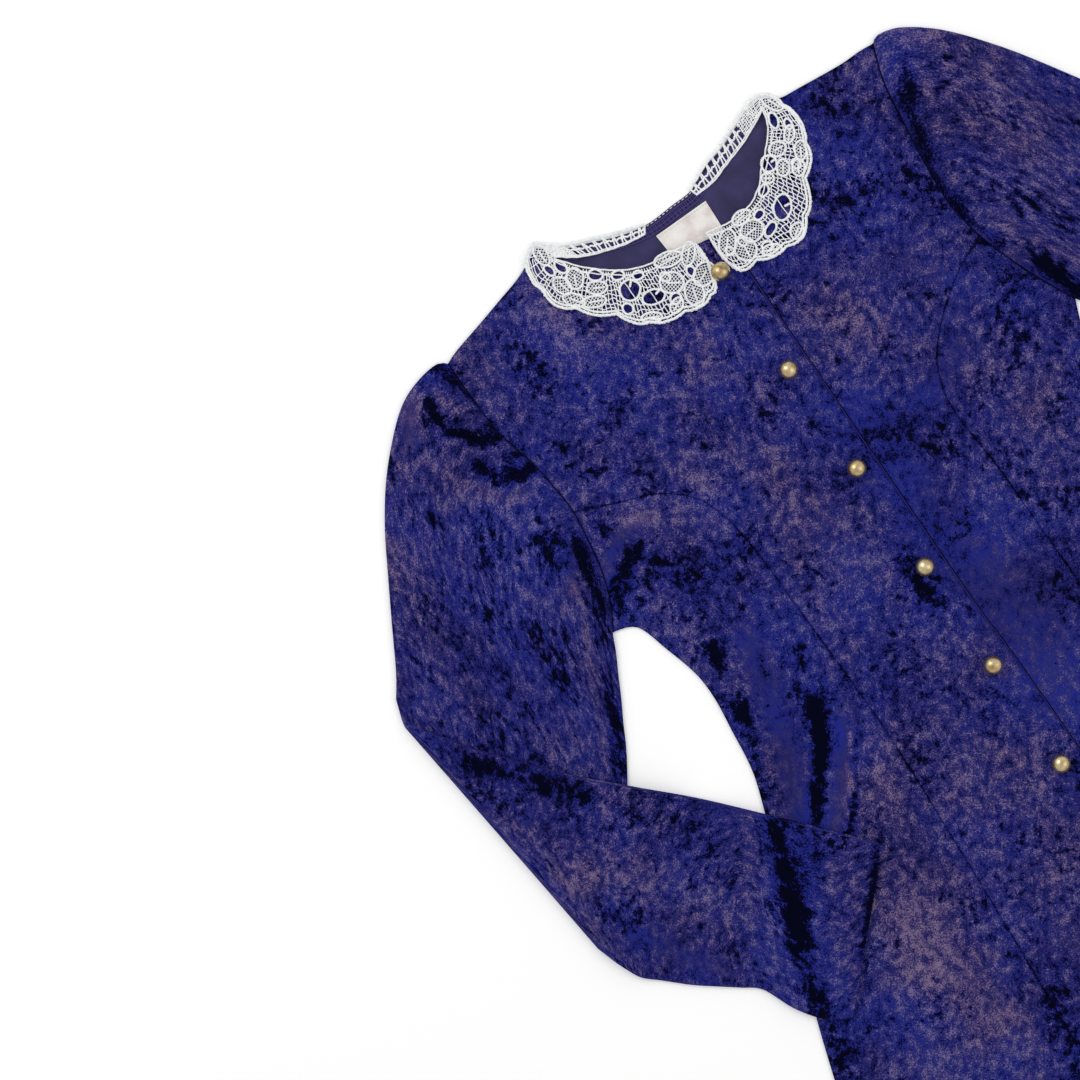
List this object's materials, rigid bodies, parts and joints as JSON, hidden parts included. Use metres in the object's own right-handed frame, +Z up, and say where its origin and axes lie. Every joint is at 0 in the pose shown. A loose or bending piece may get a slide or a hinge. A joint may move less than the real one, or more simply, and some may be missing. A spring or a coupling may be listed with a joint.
{
  "type": "velvet dress",
  "caption": "Long-sleeved, button-through velvet dress with gathered sleeve caps, princess seams and a cut lace collar, laid flat with its right sleeve folded over the front.",
  "frame": {"origin": "middle of the box that the dress fills, on the surface that it lies on", "axes": "+Y up the dress from hem to neck, +X across it towards the wearer's left, +Z up off the surface, towards the viewer"},
  "size_m": [0.8926, 1.0914, 0.0187],
  "materials": {
    "crushed_velvet": "crushed stretch velvet, indigo with blue, mauve and near-black mottling",
    "velvet_wrong_side": "smooth knitted wrong side of the velvet, dull indigo",
    "cotton_lace": "white corded cotton lace with open gaps",
    "label_tape": "plain off-white satin tape",
    "antique_brass": "antique gold ball with a pearly shine"
  },
  "bodies": {
    "root": {"back": "velvet_wrong_side", "front_centre_right": "crushed_velvet", "front_centre_left": "crushed_velvet", "front_side_right": "crushed_velvet", "front_side_left": "crushed_velvet", "sleeve_right": "crushed_velvet", "sleeve_left": "crushed_velvet", "collar_right": "cotton_lace", "collar_left": "cotton_lace", "label": "label_tape", "button_01": "antique_brass", "button_02": "antique_brass", "button_03": "antique_brass", "button_04": "antique_brass", "button_05": "antique_brass", "button_06": "antique_brass", "button_07": "antique_brass", "button_08": "antique_brass", "button_09": "antique_brass", "button_10": "antique_brass", "button_11": "antique_brass"}
  },
  "joints": []
}
